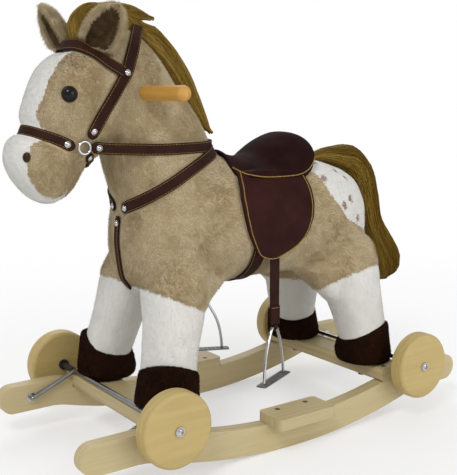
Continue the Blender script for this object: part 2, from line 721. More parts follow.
BLAZE_Z = [325, 337, 345, 364, 383, 400, 411, 426, 439, 469, 489, 500]
BLAZE_Y = [27, 27.5, 28, 29.5, 30, 29, 25.5, 23.5, 26.5, 28.5, 21, 16]
RUMP_END, LEG_WHITE_TOP, NOWHERE = -70, 232, -9
RUMP_X = [-215, -177, -127, -95, -86, RUMP_END, 0]
RUMP_Z = [250, 256, 278, 315, 336, 352, 420]


def blaze_depth(p):
    """How far inside the white of the face a point is."""
    x, y, z = p.T
    front = (x - POLL[0]) * math.sin(HEAD_DROP) + (z - POLL[1]) * math.cos(HEAD_DROP)
    wide = np.interp(z, BLAZE_Z, BLAZE_Y) - np.abs(y)
    ahead = np.where(z > 350, front + 6, x - 262)
    return np.minimum(np.minimum(wide, ahead), np.where(x > 225, 502 - z, NOWHERE))


def rump_depth(p):
    x, _, z = p.T
    return np.where(x < RUMP_END, z - np.interp(x, RUMP_X, RUMP_Z), NOWHERE)


SPOTS = [
    (-99, 37, 353, 6.5), (-132, 45, 341, 6), (-94, 65.5, 334.5, 7), (-144, 53, 331, 5),
    (-138, 72, 304, 6), (-122, 77, 296, 6.5), (-156, 69, 275, 5.5), (-118, 12, 358, 6),
    (-148, 22, 340, 5.5),
]


def zones(p, shrink=0.0):
    """Name of the pile at each point; the spots may shrink."""
    x, _, z = p.T
    jag = 0.7 * noise(p, 5, 8)
    name = np.full(len(p), "tan", dtype=object)
    below_brow = TURN_SIN * (x - BROW_AT[0]) - TURN_COS * (z - BROW_AT[1]) > 3
    legs = (z < leg_line(p)) & (z < LEG_WHITE_TOP)
    name[((blaze_depth(p) + jag > 0) & below_brow) | (rump_depth(p) + jag > 0) | legs] = "white"
    for *spot, r in SPOTS:
        for side in (1, -1):
            d = np.linalg.norm((p - on_side(spot, side)) * [1, 1, 0.8], axis=1)
            name[(d + 0.9 * noise(p, 4, 3) < r - shrink) & (x < RUMP_END)] = "spot"
    return name


def seam_dip(p):
    """Depth of the sewn seams: at the leg tops and down both sides of the throat."""
    x, y, z = p.T
    dip = 1.6 * np.exp(-((z - leg_line(p)) / 3.0) ** 2) * (z < 236)
    throat = np.interp(z, [300, 320, 357, 393], [14, 17, 21, 28])
    near = np.exp(-((np.abs(y) - throat) / 3.0) ** 2)
    return dip + 1.4 * near * (x > 150) * (x < 200) * ease(290, 310, z) * (1 - ease(385, 400, z))


FACE_AHEAD = np.array([0.777, 0, 0.629])


def moulded(p, n):
    """How far the stuffing stands out: full brow, noseband's pull, filled flanks, swell round the handle."""
    x, y, z = p.T
    ahead = ease(-0.1, 0.6, n @ FACE_AHEAD)
    brow = 5.5 * ahead * ease(406, 424, z) * (1 - ease(482, 502, z)) * (x > 205)
    off = TURN_COS * (z - NOSE_AT[1]) - TURN_SIN * (x - NOSE_AT[0])
    pull = 6.5 * (0.3 + 0.7 * ahead) * np.exp(-((off / 8) ** 2)) * ease(248, 272, x)
    pit = np.exp(-(((x + 82) / 17) ** 2) - ((z - 224) / 16) ** 2) * ease(55, 65, np.abs(y))
    grip = np.hypot(x - GRIP[0], z - GRIP[1])
    muzzle = 2.2 * ease(255, 275, x) * (1 - ease(388, 400, z))
    return brow - pull + muzzle + 8.0 * pit + 3.0 * np.exp(-((grip / 17) ** 2))


handle_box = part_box("handle_bar")
GRIP = millimetres((np.array(handle_box[0]) + np.array(handle_box[1])) / 2)[[0, 2]]
skin_n = vertex_normals(skin_v, skin_f)
lumps = 1.3 * noise(skin_v, 42, 2) + 0.6 * noise(skin_v, 17, 4) + moulded(skin_v, skin_n)
skin_v = skin_v + skin_n * (lumps - seam_dip(skin_v))[:, None]
chin_low = (skin_v[:, 0] > 215) & (skin_v[:, 2] > 290)
skin_v[:, 2] += np.where(chin_low, 3.0 * (1 - ease(350, 380, skin_v[:, 2])), 0)
skin_v = smoothed(skin_v, [(-82, 76, 220), (-60, 70, 214), (92, 72, 212), (74, 68, 214)], 34, 40)
skin_n = vertex_normals(skin_v, skin_f)
skin_tree = tree(skin_v, skin_f)

names = zones(skin_v[as_quads(skin_f)].mean(axis=1), 2.2)
slots = np.select([names == "white", names == "spot"], [1, 2], 0)
skin = piece("plush_skin", skin_v, skin_f, [tan_cloth, white_cloth, spot_cloth], slots=slots,
             slot="tan_plush", turn=False,
             stands_for=("torso", "neck", "head", *("leg_" + place for place in FOUR)))

# Hooves

HOOF = [(0, 66), (0.06, 75), (0.2, 78.5), (0.5, 77), (0.8, 74.5), (1, 72.5), (1.09, 66)]
HOOF_TOE, HOOF_INSET = 4.0, -1.2
hoof_parts = []
for (end, side), place in zip(FEET, FOUR):
    keys = [(end * HOOF_X, side * HOOF_Y, HOOF_FOOT + HOOF_HIGH * s, d / 2, d / 2, 0) for s, d in HOOF]
    v, f = remeshed(*loft(keys, 4, 36, HOOF_INSET), SKIN_VOXEL)
    v = relaxed(v, f, 3)
    n = vertex_normals(v, f)
    v = v + n * (0.9 * noise(v, 24, 6) * ease(75, 84, v[:, 2]))[:, None]
    lean = HOOF_LEAN[end]
    rise = (v[:, 0] - end * HOOF_X) * lean[0] + (v[:, 1] - side * HOOF_Y) * side * lean[1]
    v[:, 2] += rise * ease(HOOF_FOOT + 12, HOOF_FOOT + 40, v[:, 2])
    v[:, 2] = np.maximum(v[:, 2], HOOF_FOOT)
    v[:, 0] += end * HOOF_TOE * (1 - ease(HOOF_FOOT, HOOF_FOOT + 44, v[:, 2]))
    node = "hoof_" + place
    hoof = piece("plush_" + node, v, f, brown_cloth, slot="brown_plush", stands_for=(node,), turn=False)
    hoof_parts.append((v, f))

# Tack on the skin: a strap follows a plane's cut through the plush, or points beside it that are laid on it

LIFT = 2.6
PATH_STEP = 3.0
RING = (247.2, 385.9)
skin_edges = edges_of(skin_f)
strap_trees = []
strap_lines = {}
STITCH_IN, STITCH_UP = 1.7, 1.12


def plane_path(origin, normal, keep):
    """Points where a plane cuts the skin, in order round the cut and lifted off it, and their normals."""
    normal = np.array(normal, float)
    d = (skin_v - np.array(origin, float)) @ normal
    e = skin_edges[np.sign(d[skin_edges[:, 0]]) != np.sign(d[skin_edges[:, 1]])]
    t = d[e[:, 0]] / (d[e[:, 0]] - d[e[:, 1]])
    p = skin_v[e[:, 0]] + (skin_v[e[:, 1]] - skin_v[e[:, 0]]) * t[:, None]
    n = unit(skin_n[e[:, 0]] * (1 - t)[:, None] + skin_n[e[:, 1]] * t[:, None])
    ok = keep(p)
    p, n = p[ok], n[ok]
    a = unit(np.cross(normal, [0, 1.0, 0]) if abs(normal[1]) < 0.9 else np.array([1.0, 0, 0]))
    b = np.cross(normal, a)
    middle = p.mean(axis=0)
    angle = np.arctan2((p - middle) @ b, (p - middle) @ a)
    order = np.argsort(angle)
    p, n, angle = p[order], n[order], angle[order]
    gaps = np.diff(np.r_[angle, angle[0] + 2 * np.pi])
    start = (np.argmax(gaps) + 1) % len(p)
    p, n = np.roll(p, -start, 0), np.roll(n, -start, 0)
    both = blurred(even(np.hstack([p + n * LIFT, n]), PATH_STEP), 6)
    return both[:, :3], unit(both[:, 3:] - np.outer(both[:, 3:] @ normal, normal))


def cut_path(at, turn, keep):
    """The same for a plane across the horse, through a point of its middle and turned from level."""
    c, s = math.cos(math.radians(turn)), math.sin(math.radians(turn))
    return plane_path((at[0], 0, at[1]), (-s, 0, c), keep)


def guided(points, lift=LIFT, free=()):
    """A path through points on the horse's left, laid on the skin and mirrored; free ones stay off it."""
    laid = []
    for i, point in enumerate(np.array(points, float)):
        at, normal, _, _ = skin_tree.find_nearest(Vector(point))
        laid.append(point if i in free else np.array(at + normal * lift))
    right = (np.array(laid) * FLIP)[::-1]
    if abs(laid[-1][1]) < 0.5:
        right = right[1:]
    path = curve_through(np.vstack([laid, right]), PATH_STEP)
    normals = np.zeros_like(path)
    for i, q in enumerate(path):
        at, normal, _, _ = skin_tree.find_nearest(Vector(q))
        normals[i] = normal
        path[i] = q + normals[i] * max(0.0, lift - (Vector(q) - at).dot(normal))
    path, normals = blurred(path, 8), blurred(normals, 8)
    along = unit(np.gradient(path, axis=0))
    return path, unit(normals - along * (normals * along).sum(1, keepdims=True))


def strap(path, normals, width, thick=2.2, ends=True):
    """A leather band with rounded edges along a path; its flat side faces along the normals."""
    p, n = np.asarray(path, float), np.asarray(normals, float)
    side = unit(np.cross(unit(np.gradient(p, axis=0)), n))
    h, r = width / 2, thick / 2
    rim = [(-h, -r * 0.4), (-h, r * 0.4), (-h + 0.5, r * 0.9), (-h + 1.8, r), (0, r * 1.08), (h - 1.8, r),
           (h - 0.5, r * 0.9), (h, r * 0.4), (h, -r * 0.4), (h - 0.6, -r), (0, -r), (-h + 0.6, -r)]
    narrow = np.ones(len(p))
    if ends:
        k = int(round(h / np.linalg.norm(np.diff(p, axis=0), axis=1).mean()))
        for i in range(k):
            narrow[i] = narrow[-1 - i] = math.sqrt(max(0.08, 1 - (1 - (i + 0.2) / k) ** 2))
    rows = [p + side * (a * narrow[:, None]) + n * b for a, b in rim]
    return (np.stack(rows, axis=1).reshape(-1, 3), capped(len(p), len(rim))), side


def stitches(path, normals, side, offset, lift, pitch=4.2, length=3.2, radius=0.3):
    """A row of raised thread stitches along a band."""
    line = even(np.hstack([np.asarray(path) + side * offset + np.asarray(normals) * lift, normals]), pitch)
    out = []
    for a, b in zip(line[:-1], line[1:]):
        mid, along = (a[:3] + b[:3]) / 2, unit(b[:3] - a[:3])
        n = unit(a[3:] + b[3:])
        run = np.linspace(-0.5, 0.5, 5)[:, None]
        arch = (0.25 - run**2) * 1.2
        out.append(tube(mid + along * run * length + n * arch, radius, 5))
    return out


def band(name, node, path, normals, width):
    """A strap of the tack as a piece, with a row of stitches along each edge."""
    strap_lines[name] = path, normals
    shape, side = strap(path, normals, width)
    piece("leather_" + name, *shape, strap_hide, stands_for=(node,), slot="leather")
    strap_trees.append(tree(*shape))
    inner = slice(2, -2)
    sewn = [joined(stitches(path[inner], normals[inner], side[inner], offset, STITCH_UP))
            for offset in (-width / 2 + STITCH_IN, width / 2 - STITCH_IN)]
    piece("stitching_" + name, *joined(sewn), gold_thread, slot="leather")


CROWN = [
    (240, 43.5, 396), (236.7, 44.5, 401.3), (224.2, 48.2, 425.8), (209, 47, 447), (199.1, 43.7, 460.5),
    (190.8, 40.8, 468.5), (183, 39.4, 488), (172, 30, 509), (161, 17, 522), (153, 6, 528), (151, 0, 529),
]
BROW = [
    (191, 41, 466.5), (196, 40, 470), (215.5, 39.5, 477), (231, 32, 483.5), (240.5, 17, 489),
    (245, 7, 491.5), (245.5, 0, 492),
]
BREAST = [
    (181, 9, 306.5), (180.1, 15, 310), (168.9, 41.7, 322.2), (155.1, 53.6, 332), (138, 60, 342.2),
    (117.4, 61.3, 354.3), (92.6, 56.9, 366.1), (68.3, 38.9, 374), (55, 18, 378), (52, 0, 379),
]
band("headstall", "headstall", *guided(CROWN, free=(8, 9, 10)), STRAP)
path, normals = guided(BROW, LIFT + 1.0)
tilt = 0.8 * (1 - ease(16, 38, np.abs(path[:, 1])))
face = unit(normals + tilt[:, None] * np.array([1.0, 0, -0.3]))
rise = np.sqrt(np.clip(1 - (face * normals).sum(1) ** 2, 0, 1)) * STRAP * 0.42
band("browband", "browband", path + normals * rise[:, None], face, STRAP * 0.98)
band("noseband", "noseband", *cut_path(NOSE_AT, STRAP_TURN, lambda p: p[:, 0] > 257), STRAP * 0.85)
chin = cut_path(RING, 45, lambda p: (p[:, 2] < RING[1] - 8) & (p[:, 0] > 195))
band("chin_strap", "noseband", *chin, STRAP * 0.75)
band("breast_strap", "breast_strap", *guided(BREAST), STRAP)
band("girth_strap", "girth_strap", *plane_path((23.4, 0, 0), (1, 0, 0), lambda p: p[:, 2] < 262), 20)
chest = plane_path((0, 0, 0), (0, 1, 0), lambda p: (p[:, 0] > 140) & (p[:, 2] > 205) & (p[:, 2] < 299))
band("chest_strap", "chest_strap", *chest, STRAP * 0.7)

# Reins: from each ring back along the neck and round behind it
round_neck = np.hstack(plane_path((0, 0, RING[1] - 5), (0, 0, 1), lambda p: p[:, 0] < 166))
if round_neck[0, 1] < 0:
    round_neck = round_neck[::-1]
tip = np.array([[RING[0] - 9.5, 43.0, RING[1]], [215, 45.5, RING[1] - 2.5]])
tip_n = unit([[0.1, 1, 0], [0.02, 1, 0]])
rein = np.vstack([np.hstack([tip, tip_n]), round_neck[2:-2], np.hstack([tip * FLIP, tip_n * FLIP])[::-1]])
rein = blurred(even(rein, PATH_STEP), 10)
band("reins", "reins", rein[:, :3], unit(rein[:, 3:]), STRAP * 0.92)

# Rivets, eyes and nostrils

RIVET = [(3.9, -0.6), (3.9, 0.3), (3.4, 0.7), (2.7, 0.75), (2.5, 1.3), (1.8, 1.9), (0.9, 2.2), (0.05, 2.3)]
FLAT_RIVET = [(2, -5), (2, 0), (3.75, 0.2), (3.7, 0.7), (0.05, 0.8)]
RIVETS = [
    ("headstall", (191, 40.5, 468), 2.6), ("headstall", (236, 45, 404), 1.0),
    ("reins", (229, 42, 386), 1.0), ("chin_strap", (238, 32, 371), 1.0),
    ("noseband", (265, 40, 391), 1.0), ("breast_strap", (180, 15, 310), 1.0),
    ("chest_strap", (182, 0, 288), 1.0),
]
EYE = [
    (9.0, -2.5), (9.2, 0.6), (8.8, 1.8), (8.0, 2.2), (7.4, 1.8), (7.2, 2.4), (6.4, 4.2), (4.9, 5.5),
    (2.7, 6.3), (0.05, 6.6),
]
EYE_AT, NOSTRIL_AT = (263.6, 41.9, 445.6), (310.2, 29.5, 377)
EYE_SIDES, RIM_ROWS, BALL_ROWS = 36, 4, 5
NOSTRIL = [(4.6, -1.5), (4.4, 0.8), (3.4, 1.7), (1.8, 2.2), (0.05, 2.3)]


def on_skin(point):
    at, normal, _, _ = skin_tree.find_nearest(Vector(point))
    return np.array(at), np.array(normal)


studs = []
for name, at, lift in RIVETS:
    path, normals = strap_lines[name]
    for side in (1, -1) if at[1] else (1,):
        i = np.argmin(np.linalg.norm(path - on_side(at, side), axis=1))
        studs.append(lathe(RIVET, path[i] + normals[i] * lift, normals[i], 20))
studs += [lathe(FLAT_RIVET, (HANG_X, side * PIVOT_Y, PIVOT_Z), (0, -side, 0), 20) for side in (1, -1)]
piece("rivets", *joined(studs), chrome, stands_for=("tack_rivets",), slot="chrome")

lids, holes = [], []
for side in (1, -1):
    at, normal = on_skin(on_side(EYE_AT, side))
    lids.append(lathe(EYE, at + normal * 0.6, normal, EYE_SIDES))
    at, normal = on_skin(on_side(NOSTRIL_AT, side))
    v, f = lathe(NOSTRIL, at + normal * 0.6, normal, 24)
    v[:, 2] = at[2] + (v[:, 2] - at[2]) * 1.25
    holes.append((v, f))
dark = [0] * (RIM_ROWS * EYE_SIDES) + [1] * (BALL_ROWS * EYE_SIDES) + [0, 1]
piece("eye_buttons", *joined(lids), [eye_rim, eye_black], slots=dark * 2, slot="eye", stands_for=("eyes",))
piece("nostril_pads", *joined(holes), eye_rim, slot="eye", stands_for=("nostrils",))

# Saddle: flaps that hang over the trunk, padded seat, gold cord along the edges

FLAP_TOP, FLAP_FOOT = 350, 238.6
FLAP_ROWS, FLAP_COLUMNS = 34, 26
FLAP_FRONT = [
    (356, 42), (350, 46), (341, 49.5), (318, 53.5), (296, 51), (274, 45), (258, 37.5), (248, 32),
    (243.5, 27.5), (240.6, 20), (238.6, 12),
]
FLAP_REAR = [
    (356, -58), (340, -60.5), (320, -61.5), (303, -61), (286, -58), (273, -53), (262, -45), (252, -32),
    (244, -13), (240, -2), (238.6, 4),
]
SEAT_LEDGE = 339.5
FLAP_CORD, SEAT_CORD, CORD_SIDES = 0.7, 0.85, 8
CANTLE_BACK, CANTLE_LOW = [50, 62, 71, 84, 96, 110], [0, 344, 353, 362, 366, 368]
SKIRT_FRONT = [(0, 39), (20, 44), (32, 46.5), (48, 49), (57, 48.5), (61, 43)]
SKIRT_ROWS, SKIRT_COLUMNS = 61, 19
SKIRT_HALF, SKIRT_BACK, SKIRT_THICK = 61, 8, (0.6, 3.4)
SEAT_EDGE = [
    (48, 354.6), (37, 347.4), (21.5, 343.4), (5, 341.2), (-13, 340.4), (-32, 340.4), (-46, 341.2),
    (-58, 344), (-70, 351),
]
SEAT_BACK = [(-82, 52, 362), (-94, 34, 366), (-101, 12, 368)]


def trunk_side(x, z):
    """The trunk's half width at a place, falling plumb below its widest line."""
    keys = np.array(trunk_keys(TORSO))
    mid, deep, wide = (np.interp(x, keys[:, 0], keys[:, c]) for c in (2, 3, 4))
    up = np.clip((z - mid) / deep, 0, 0.98)
    return wide * (1 - up ** (2 / SQUARE)) ** (SQUARE / 2)


def edge_at(points, z):
    a = np.array(points[::-1], float)
    return np.interp(z, a[:, 0], a[:, 1])


def flap_shape(side):
    """A flap, and the path of the cord along its edge."""
    rows, columns = FLAP_ROWS, FLAP_COLUMNS
    z = FLAP_TOP - (FLAP_TOP - FLAP_FOOT) * np.sin(np.linspace(0, np.pi / 2, rows))
    front, rear = edge_at(FLAP_FRONT, z), edge_at(FLAP_REAR, z)
    c = np.linspace(0, 1, columns)
    x = rear[:, None] + (front - rear)[:, None] * c
    height = np.repeat(z[:, None], columns, 1)
    down = np.clip((FLAP_TOP - height) / 112, 0, 1)
    bulge = 1.6 * np.sin(np.pi * c)[None, :] * np.sin(np.pi * down) ** 0.5
    bulge = bulge - 0.9 * np.maximum(0, 1 - np.minimum(c, 1 - c) * 30)[None, :]
    y = trunk_side(x, height) + 1.6
    inner, outer = (np.stack([x, side * w, height], axis=-1).reshape(-1, 3) for w in (y, y + 2.4 + bulge))
    route = [r * columns + 1 for r in range(rows - 1)]
    route += [(rows - 2) * columns + k for k in range(2, columns - 1)]
    route += [r * columns + columns - 2 for r in range(rows - 3, -1, -1)]
    return sheet(inner, outer, rows, columns), outer[route] + np.array([0, side * 0.3, 0])


cords = []
for side, word in HANDS:
    shape, edge = flap_shape(side)
    piece("saddle_" + word + "_flap", *shape, flap_hide, slot="leather", stands_for=("saddle_flap_" + word,))
    strap_trees.append(tree(*shape))
    cords.append(tube(even(edge, PATH_STEP), FLAP_CORD, CORD_SIDES))

seat_v, seat_f = remeshed(*loft(trunk_keys(SEAT), 4, 48), SEAT_VOXEL)
seat_v = relaxed(seat_v, seat_f, 5)
seat_n = vertex_normals(seat_v, seat_f)
swell = 3.2 * np.exp(-(((seat_v[:, 2] - 349) / 9) ** 2)) * ease(30, 50, np.abs(seat_v[:, 1]))
seat_v = seat_v + seat_n * swell[:, None]
x, y, z = seat_v[:, 0], np.abs(seat_v[:, 1]), seat_v[:, 2]
ledge = (z > SEAT_LEDGE) & (z < 351) & (y > 38) & (np.abs(x + 14) < 47)
reach = trunk_side(x[ledge], z[ledge]) + 6.6
seat_v[ledge, 1] = np.sign(seat_v[ledge, 1]) * np.maximum(y[ledge], reach)
slope = 15 * (seat_v[:, 1] / 62) ** 2 * ease(-85, -45, seat_v[:, 0]) * ease(346, 366, seat_v[:, 2])
seat_v[:, 2] -= slope
cantle_edge = np.interp(-seat_v[:, 0], CANTLE_BACK, CANTLE_LOW)
for i, point in enumerate(seat_v):
    at, normal, _, _ = skin_tree.find_nearest(Vector(point))
    off = -3.0 if point[2] < cantle_edge[i] - 2 else 2.0
    if off < 0 or (Vector(point) - at).dot(normal) < off:
        seat_v[i] = np.array(at + normal * off)
seat_v = relaxed(seat_v, seat_f, 2)
seat = piece("saddle_padded_seat", seat_v, seat_f, hide, slot="leather", stands_for=("saddle_seat",),
             turn=False)
seat_tree = tree(seat_v, seat_f)
strap_trees.append(seat_tree)

# Pommel skirt: thin leather from under the seat forward over the withers, its front edge turned up
under, over = [], []
for y in np.linspace(-SKIRT_HALF, SKIRT_HALF, SKIRT_ROWS):
    tip = np.interp(abs(y), *np.transpose(SKIRT_FRONT))
    for x in np.linspace(SKIRT_BACK, tip, SKIRT_COLUMNS):
        at, normal, _, _ = skin_tree.ray_cast(Vector((x, y, 420)), Vector((0, 0, -1)))
        lip = np.array([0, 0, 2.4 * ease(tip - 12, tip, x) * (1 - ease(26, 46, abs(y)))])
        for face, off in zip((under, over), SKIRT_THICK):
            face.append(np.array(at) + (np.array(normal) + 0.2 * lip) * off + lip)
over = np.array(over)
over[SKIRT_COLUMNS - 1::SKIRT_COLUMNS] -= np.array([0, 0, 0.7])
skirt = sheet(under, over, SKIRT_ROWS, SKIRT_COLUMNS)
piece("saddle_pommel_skirt", *skirt, hide, slot="leather")
strap_trees.append(tree(*skirt))

# Gold cord along the seat's lower edge, on whatever lies outermost there: flaps, seat or skirt
rim_left = []
for x, z in SEAT_EDGE:
    hits = [t.ray_cast(Vector((x + a, 130, z + b)), Vector((0, -1, 0)))[0]
            for t in strap_trees[-4:] for a in (-3, 0, 3) for b in (0, 1.2)]
    hits = [h for h in hits if h is not None and h[1] > 0]
    if hits:
        rim_left.append((x, max(h[1] for h in hits) + 0.4, z))
for point in SEAT_BACK:
    at, normal, _, _ = seat_tree.find_nearest(Vector(point))
    rim_left.append(np.array(at + normal * 0.4))
rim_left = np.array(rim_left)
loop = curve_through(np.vstack([rim_left, (rim_left * FLIP)[::-1]]), PATH_STEP)
cords.append(tube(loop, SEAT_CORD, CORD_SIDES))
piece("saddle_cord", *joined(cords), gold_thread, slot="leather")

# Stirrups: the leather with its folded end, the bent wire and the tread plate

TURN = math.radians(25)
BOW = [(0, 0), (4.8, -0.2), (8.2, -3.5), (12.5, -11), (18.5, -22), (23.3, -36), (26.3, -52), (28.1, -69.5)]
BOW = [(-a, b) for a, b in BOW[:0:-1]] + BOW
LAYERS = [(0.94, -1.0), (1.0, -0.6), (1.0, 0.6), (0.96, 1.0)]
BUMP, BUMP_FOOT = [(1.5, 0), (1.3, 0.5), (0.05, 0.7)], -69.1
CORNERS = []
for cx, cy, first in ((35, 4, 0), (-35, 4, 90), (-35, -4, 180), (35, -4, 270)):
    for k in range(5):
        a = math.radians(first + 22.5 * k)
        CORNERS.append((cx + 3 * math.cos(a), cy + 3 * math.sin(a)))
for side, word in HANDS:
    outward_n = [0.0, side, 0]
    leather = {"body": word + "_stirrup_leather", "slot": "leather"}
    path = np.array([(HANG_X, side * HANG_Y, z) for z in np.arange(LEATHER_TOP, LEATHER_FOOT, -3.0)])
    fold = np.array([(HANG_X, side * (HANG_Y + 2.1), z)
                     for z in np.arange(FOLD_TOP, LEATHER_FOOT + 0.5, -2.5)])
    long_part, _ = strap(path, np.tile(outward_n, (len(path), 1)), STRAP, 2.1)
    fold_part, _ = strap(fold, np.tile(outward_n, (len(fold), 1)), STRAP - 0.4, 1.8, ends=False)
    bar = np.array([math.cos(TURN), side * math.sin(TURN), 0])
    front = np.array([-bar[1], bar[0], 0])
    hang = np.array([HANG_X, side * HANG_Y, HANG_Z])
    roll = tube([hang + bar * a for a in (-3.3, -2.7, 2.7, 3.3)], [3.4, 4.1, 4.1, 3.4], 20)
    piece("stirrup_strap_" + word, *joined([long_part, fold_part, roll]), strap_hide,
          stands_for=("stirrup_leather_" + word,), **leather)
    cross = np.array([(x, side * (HANG_Y + 3.05), 173.5) for x in np.linspace(-4.2, 9.8, 8)])
    row = stitches(cross, np.tile(outward_n, (8, 1)), np.zeros((8, 3)), 0, 0, 3.1, 2.4, 0.45)
    piece("stirrup_strap_stitching_" + word, *joined(row), gold_thread, **leather)
    wire = tube(curve_through([hang + bar * a + np.array([0, 0, b]) for a, b in BOW], 2.0), 1.95, 12)
    plate = [hang + bar * (a * k) + front * (b * (1 - (1 - k) * 3)) + np.array([0, 0, h + TREAD])
             for k, h in LAYERS for a, b in CORNERS]
    bumps = [lathe(BUMP, hang + bar * a + front * b + np.array([0, 0, BUMP_FOOT]), (0, 0, 1), 10)
             for a in np.arange(-21, 22, 6) for b in (-3, 3)]
    verts, faces = joined([wire, (plate, capped(len(LAYERS), len(CORNERS)))] + bumps)
    slots = [0 if i < len(wire[1]) else 1 for i in range(len(faces))]
    piece("stirrup_" + word, verts, faces, [chrome, plate_steel], body=word + "_stirrup", slots=slots,
          slot="steel", stands_for=("stirrup_iron_" + word,))

# Ears: a cupped leaf, pile outside and a dark lining with a fold

EAR_ROWS, EAR_COLUMNS = 30, 25
EAR_CUP, EAR_DEEP, EAR_WALL = 112, 0.60, 5.0
CREASE_HIGH, CREASE_WIDE = 3.4, 0.20
EAR_HEIGHT = [0, 0.10, 0.24, 0.42, 0.60, 0.76, 0.88, 0.96, 1.0]
EAR_WIDE = [0.50, 0.68, 0.90, 1.0, 0.97, 0.82, 0.60, 0.36, 0.10]
# Side, node, foot, length, tilt out, lean forward, turn and half width
EARS = [
    (1, "ear_left", (227, 15, 485), 82, 45, -9, 32, 24.0),
    (-1, "ear_right", (227, 31, 485), 84, 39, 10, 14, 25.5),
]
BROW_AHEAD = np.array([math.sin(math.radians(STRAP_TURN)), 0, -math.cos(math.radians(STRAP_TURN))]) * 0.9
BROW_BACK = np.array([BROW_AT[0] - TURN_SIN * 9.0, 0, BROW_AT[1] + TURN_COS * 9.0])


def ear_shape(side, foot, length, tilt, lean, turn, half):
    """An ear on its foot, kept behind the browband; the last value is each face's material."""
    rows, columns = EAR_ROWS, EAR_COLUMNS
    h = np.linspace(0, 1, rows)
    wide = blurred(half * np.interp(h, EAR_HEIGHT, EAR_WIDE), 4)
    phi = np.radians(np.linspace(-EAR_CUP, EAR_CUP, columns))
    loops = []
    for v, w in zip(h, wide):
        deep = w * EAR_DEEP
        wall = min(EAR_WALL, 0.45 * w)
        back = np.stack([-deep * np.cos(phi), w * np.sin(phi)], axis=1)
        fold = CREASE_HIGH * np.exp(-((phi / CREASE_WIDE) ** 2)) * min(1, w / 12)
        face = np.stack([-(deep - wall) * np.cos(phi) - fold, (w - wall) * np.sin(phi)], axis=1)
        section = np.vstack([back, face[::-1]])
        loops.append(np.c_[section[:, 0], section[:, 1], np.full(len(section), v * length)])
    local = np.vstack(loops)
    n = 2 * columns
    slots = [int(columns + 3 <= k % n < 2 * columns - 4 and k // n < rows - 4)
             for k in range((rows - 1) * n)]
    pose = Matrix.Rotation(math.radians(-tilt), 3, "X") @ Matrix.Rotation(math.radians(lean), 3, "Y")
    pose = np.array(pose @ Matrix.Rotation(math.radians(turn), 3, "Z"))
    stood = local @ pose.T + np.array(foot)
    stood = stood - np.maximum((stood - BROW_BACK) @ BROW_AHEAD, 0)[:, None] * BROW_AHEAD
    return on_side(stood, side), capped(rows, n), slots + [0, 0]


ear_shells = []
for side, node, *sizes in EARS:
    verts, faces, slots = ear_shape(side, *sizes)
    if side > 0:
        faces = [f[::-1] for f in faces]
    piece("plush_" + node, verts, faces, [tan_cloth, lining_cloth], slots=slots, slot="tan_plush",
          stands_for=(node,), turn=False)
    ear_shells.append((verts, [f for f, k in zip(faces, slots) if k == 0 and len(f) == 4]))

# Hair: a core form and many tapered locks that follow it

POLL_TUFT = [
    (206, 0, 540, 12, 15, 84), (185, 0, 539, 13, 14, 92), (165, 0, 539, 11, 12, 102),
    (147, 0, 537, 7, 8, 106), (133, 0, 535, 3, 4, 104),
]
FORELOCK = [
    (196, 0, 540, 12, 15, 84), (214, 0, 536, 14, 18, 72), (227, 0, 527, 13, 18, 54),
    (232, 0, 516, 10, 17, 34), (232, 0, 507, 7, 15, 20), (231, 0, 500, 4, 13, 10),
]


def locks(name, keys, count, span, girth, spread, flick, start, past, segments=10, core=None, node=None,
          tone=0.48):
    """Fine locks along a form; span is a lock's share of its length, spread of its outline.

    flick lifts the tips, start is where along the form locks may begin, past how far they pass its end.
    """
    sections = smooth_keys(keys, 2.0)
    total = len(sections) - 1
    along = unit(sections[-1, :3] - sections[-4, :3])
    shown, tint = [], []
    t = np.linspace(0, 1, segments)
    for _ in range(count):
        run = span * (0.6 + 0.8 * rng.random())
        first = start[0] + (start[1] - start[0]) * rng.random()
        q = math.pi * spread * (2 * rng.random() - 1)
        clump = math.floor(q * 3.2) + 7.3 * math.floor(first * 5)
        wave = math.sin(12.99 * clump)
        lift = 0.90 + 0.12 * rng.random()
        s = first + run * t
        over = np.clip(s - 1, 0, 0.06) * total * 2.0 * past
        k = np.clip(s, 0, 0.985) * total
        part = np.stack([np.interp(k, np.arange(total + 1), sections[:, c]) for c in range(6)], axis=1)
        tilt = np.radians(part[:, 5])
        u = np.stack([np.cos(tilt), np.zeros(segments), np.sin(tilt)], axis=1)
        angle = q + 0.30 * wave * t + 0.07 * np.sin(7 * t + 5 * wave) + rng.normal(0, 0.05) * t
        r = lift * (0.86 + 0.14 * np.sin(np.pi * t)) + (0.04 + flick * rng.random()) * t**3
        path = part[:, :3] + u * (part[:, 3] * r * np.cos(angle))[:, None]
        path[:, 1] += part[:, 4] * r * np.sin(angle)
        path = path + along * over[:, None]
        size = girth * (0.6 + 0.8 * rng.random())
        thick = size * np.clip(1.2 * (1 - t) ** 0.5, 0.08, 1) * np.clip(0.5 + 4 * t, 0, 1)
        shown.append(tube(path, thick, 3))
        shade = tone + 0.16 * math.sin(5.3 * clump) + rng.normal(0, 0.15)
        tint.append(int(np.clip(shade * len(HAIR), 0, len(HAIR) - 1)))
    verts, faces = joined(shown)
    piece("hair_" + name, verts, faces, hair_tints, slots=np.repeat(tint, len(shown[0][1])), slot="hair",
          turn=False, stands_for=(node,) if node else ())
    if core:
        inner = np.array(keys, float)
        inner[:, 3:5] *= core
        piece("hair_" + name + "_core", *loft(inner, 3, 24), hair_core, slot="hair")


